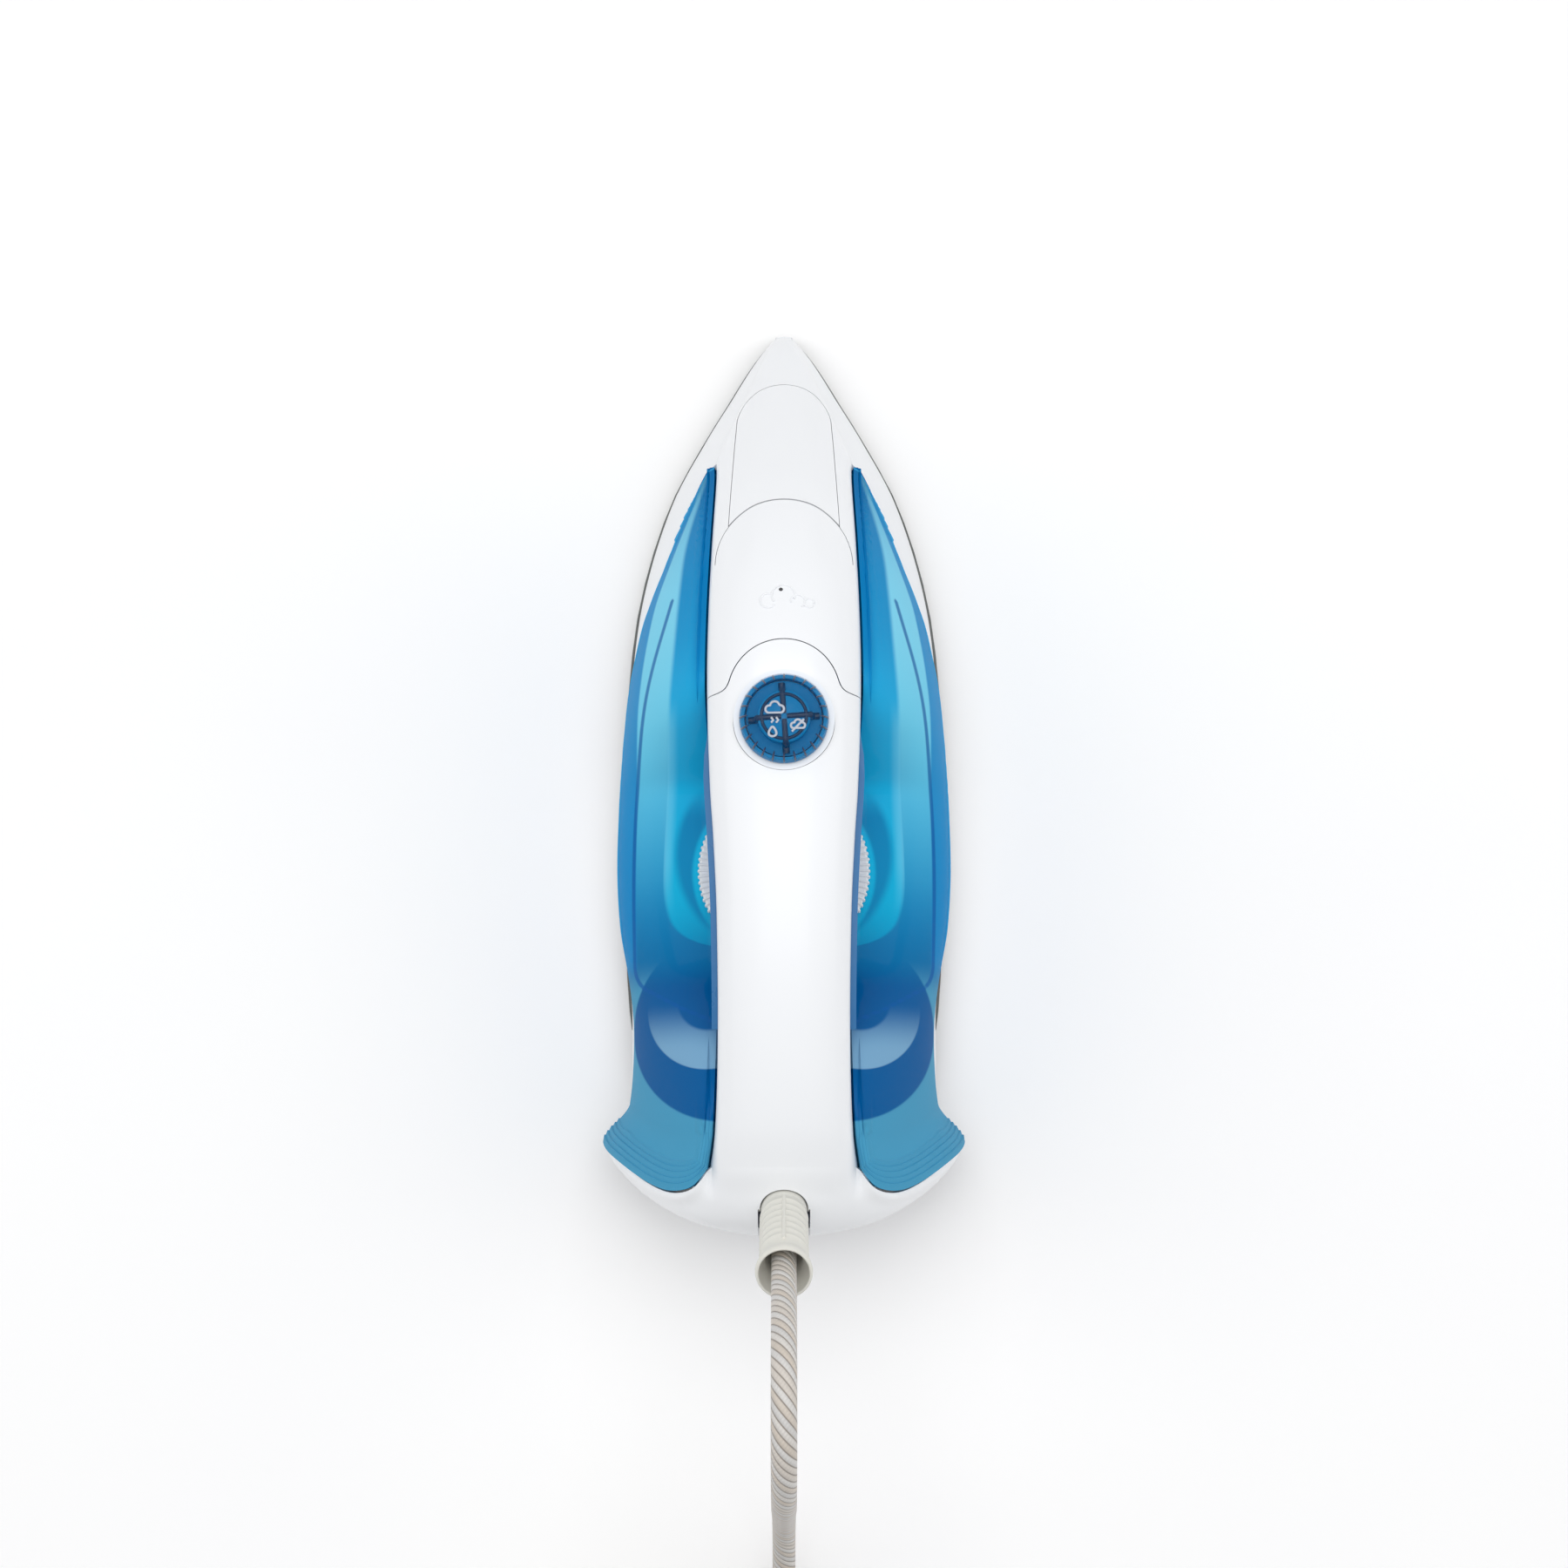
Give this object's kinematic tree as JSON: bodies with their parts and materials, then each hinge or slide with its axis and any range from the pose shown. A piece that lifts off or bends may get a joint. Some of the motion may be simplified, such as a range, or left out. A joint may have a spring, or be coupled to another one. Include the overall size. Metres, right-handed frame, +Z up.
{
  "type": "steam iron",
  "caption": "Steam iron: white cover and handle over a see-through blue water tank, steam and temperature dials, hinged filling lid, steam button and swivelling cord sleeve",
  "frame": {"origin": "on the ironing face under the middle of the body, midway between the tip and the heel, the cord left out", "axes": "+Z up from the sole, +Y to the tip, +X to the side; the body is symmetric about X = 0"},
  "size_m": [0.153, 0.528, 0.1643],
  "materials": {
    "sole": "satin non-stick sole sheet",
    "casting": "cast",
    "steel": "zinc plated",
    "brass": "plain",
    "ceramic": "unglazed",
    "white_plastic": "glossy moulded",
    "blue_tank": "transparent blue, glossy",
    "blue_inner": "deep blue, semi-transparent",
    "dark_plastic": "matt",
    "rubber": "matt",
    "ivory": "satin ivory sleeve",
    "braid": "textile braid over PVC",
    "wire": "silicone insulated",
    "lamp": "amber"
  },
  "bodies": {
    "root": {"sole_sheet": "sole", "soleplate_casting": "casting", "heating_element": "steel", "element_terminals": "brass", "steam_chamber_cover": "casting", "thermostat_base": "ceramic", "thermostat_bimetal": "brass", "thermal_fuse": "ceramic", "heat_shield": "steel", "sole_screws": "steel", "skirt": "white_plastic", "nose_cover": "white_plastic", "tank_shell": "blue_tank", "tank_base": "blue_inner", "valve_seat": "rubber", "valve_spring": "steel", "handle_cover": "white_plastic", "handle_underside": "blue_inner", "fill_funnel": "white_plastic", "rear_floor": "white_plastic", "pump_body": "white_plastic", "pump_spring": "steel", "pump_tube": "wire", "dial_collar": "white_plastic", "dial_pointer": "white_plastic", "heel_cover": "white_plastic", "heel_feet": "rubber", "heel_screws": "steel", "sleeve_pivot": "steel", "terminal_block": "ceramic", "lead_wires": "wire", "indicator_lamp": "lamp", "cord": "braid", "cord_coil": "braid", "cord_tie": "dark_plastic", "plug_body": "dark_plastic", "plug_pins": "steel"},
    "steam_knob": {"steam_dial": "blue_tank", "dial_insert": "dark_plastic", "dial_icons": "white_plastic", "dial_shaft": "white_plastic", "valve_rod": "white_plastic"},
    "temperature_knob": {"temperature_dial": "white_plastic", "thermostat_spindle": "steel"},
    "lid": {"fill_lid": "white_plastic"},
    "button": {"steam_button": "white_plastic", "pump_piston": "dark_plastic"},
    "sleeve": {"cord_sleeve": "ivory"}
  },
  "joints": [
    {"name": "steam_dial_turn", "type": "hinge", "parent": "root", "child": "steam_knob", "pos_m": [0, 0.0022, 0.1205], "axis": [0, 0, 1], "range_deg": [0, 120]},
    {"name": "temperature_dial_turn", "type": "hinge", "parent": "root", "child": "temperature_knob", "pos_m": [0, -0.0355, 0.0606], "axis": [0, 0, 1], "range_deg": [0, 270]},
    {"name": "fill_lid_hinge", "type": "hinge", "parent": "root", "child": "lid", "pos_m": [0, 0.0615, 0.095], "axis": [1, 0, 0], "range_deg": [0, 75]},
    {"name": "steam_button_press", "type": "slide", "parent": "root", "child": "button", "axis": [0, 0, -1], "range_m": [0, 0.0025], "stiffness_N_per_m": 600, "springref_m": -0.004, "deforming": ["pump_spring"]},
    {"name": "cord_sleeve_swing", "type": "hinge", "parent": "root", "child": "sleeve", "pos_m": [0, -0.131, 0.081], "axis": [1, 0, 0], "range_deg": [0, 45], "deforming": ["cord"]}
  ]
}
